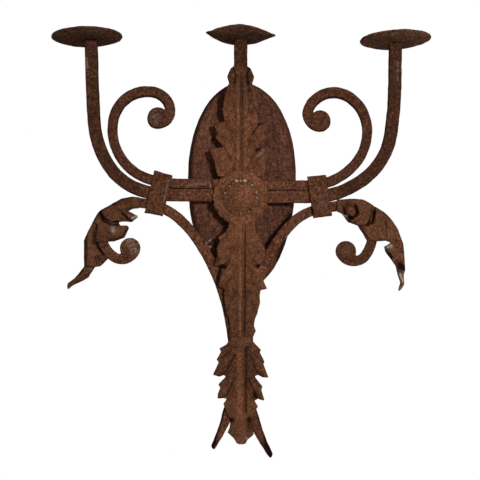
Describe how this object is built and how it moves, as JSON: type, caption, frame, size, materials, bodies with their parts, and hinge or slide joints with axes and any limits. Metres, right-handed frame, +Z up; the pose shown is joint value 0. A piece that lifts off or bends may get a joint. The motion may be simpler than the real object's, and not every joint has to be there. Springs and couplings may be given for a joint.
{
  "type": "wall sconce",
  "caption": "Wrought-iron torch sconce with an oval back plate, scrolled side arms, drip pans, acanthus leaves and a beaded rosette, for hanging on a wall.",
  "frame": {"origin": "point of the wall behind the rosette's bolt", "axes": "+Z up, +X to the viewer's right, +Y into the wall; the sconce stands out towards -Y"},
  "size_m": [0.5363, 0.1148, 0.6076],
  "materials": {
    "plate_iron": "rusted, hammered",
    "bar_iron": "rusted, hammered",
    "collar_iron": "rusted, hammered",
    "pan_iron": "rusted, hammered",
    "leaf_iron": "rusted, hammered",
    "rosette_iron": "rusted, hammered",
    "fastener_iron": "rusted, hammered"
  },
  "bodies": {
    "root": {"back_plate": "plate_iron", "plate_plug_rivet": "plate_iron", "centre_stem": "bar_iron", "left_candle_arm": "bar_iron", "left_inner_scroll": "bar_iron", "left_lower_scroll": "bar_iron", "right_candle_arm": "bar_iron", "right_inner_scroll": "bar_iron", "right_lower_scroll": "bar_iron", "left_collar": "collar_iron", "right_collar": "collar_iron", "left_pan": "pan_iron", "centre_pan": "pan_iron", "right_pan": "pan_iron", "upper_leaf": "leaf_iron", "lower_leaf": "leaf_iron", "tail_leaf": "leaf_iron", "left_side_leaf": "leaf_iron", "right_side_leaf": "leaf_iron", "rosette_petals": "rosette_iron", "rosette_bead_ring": "rosette_iron", "rosette_boss_bolt": "rosette_iron", "bolt_washer": "fastener_iron", "bolt_nut": "fastener_iron"}
  },
  "joints": []
}
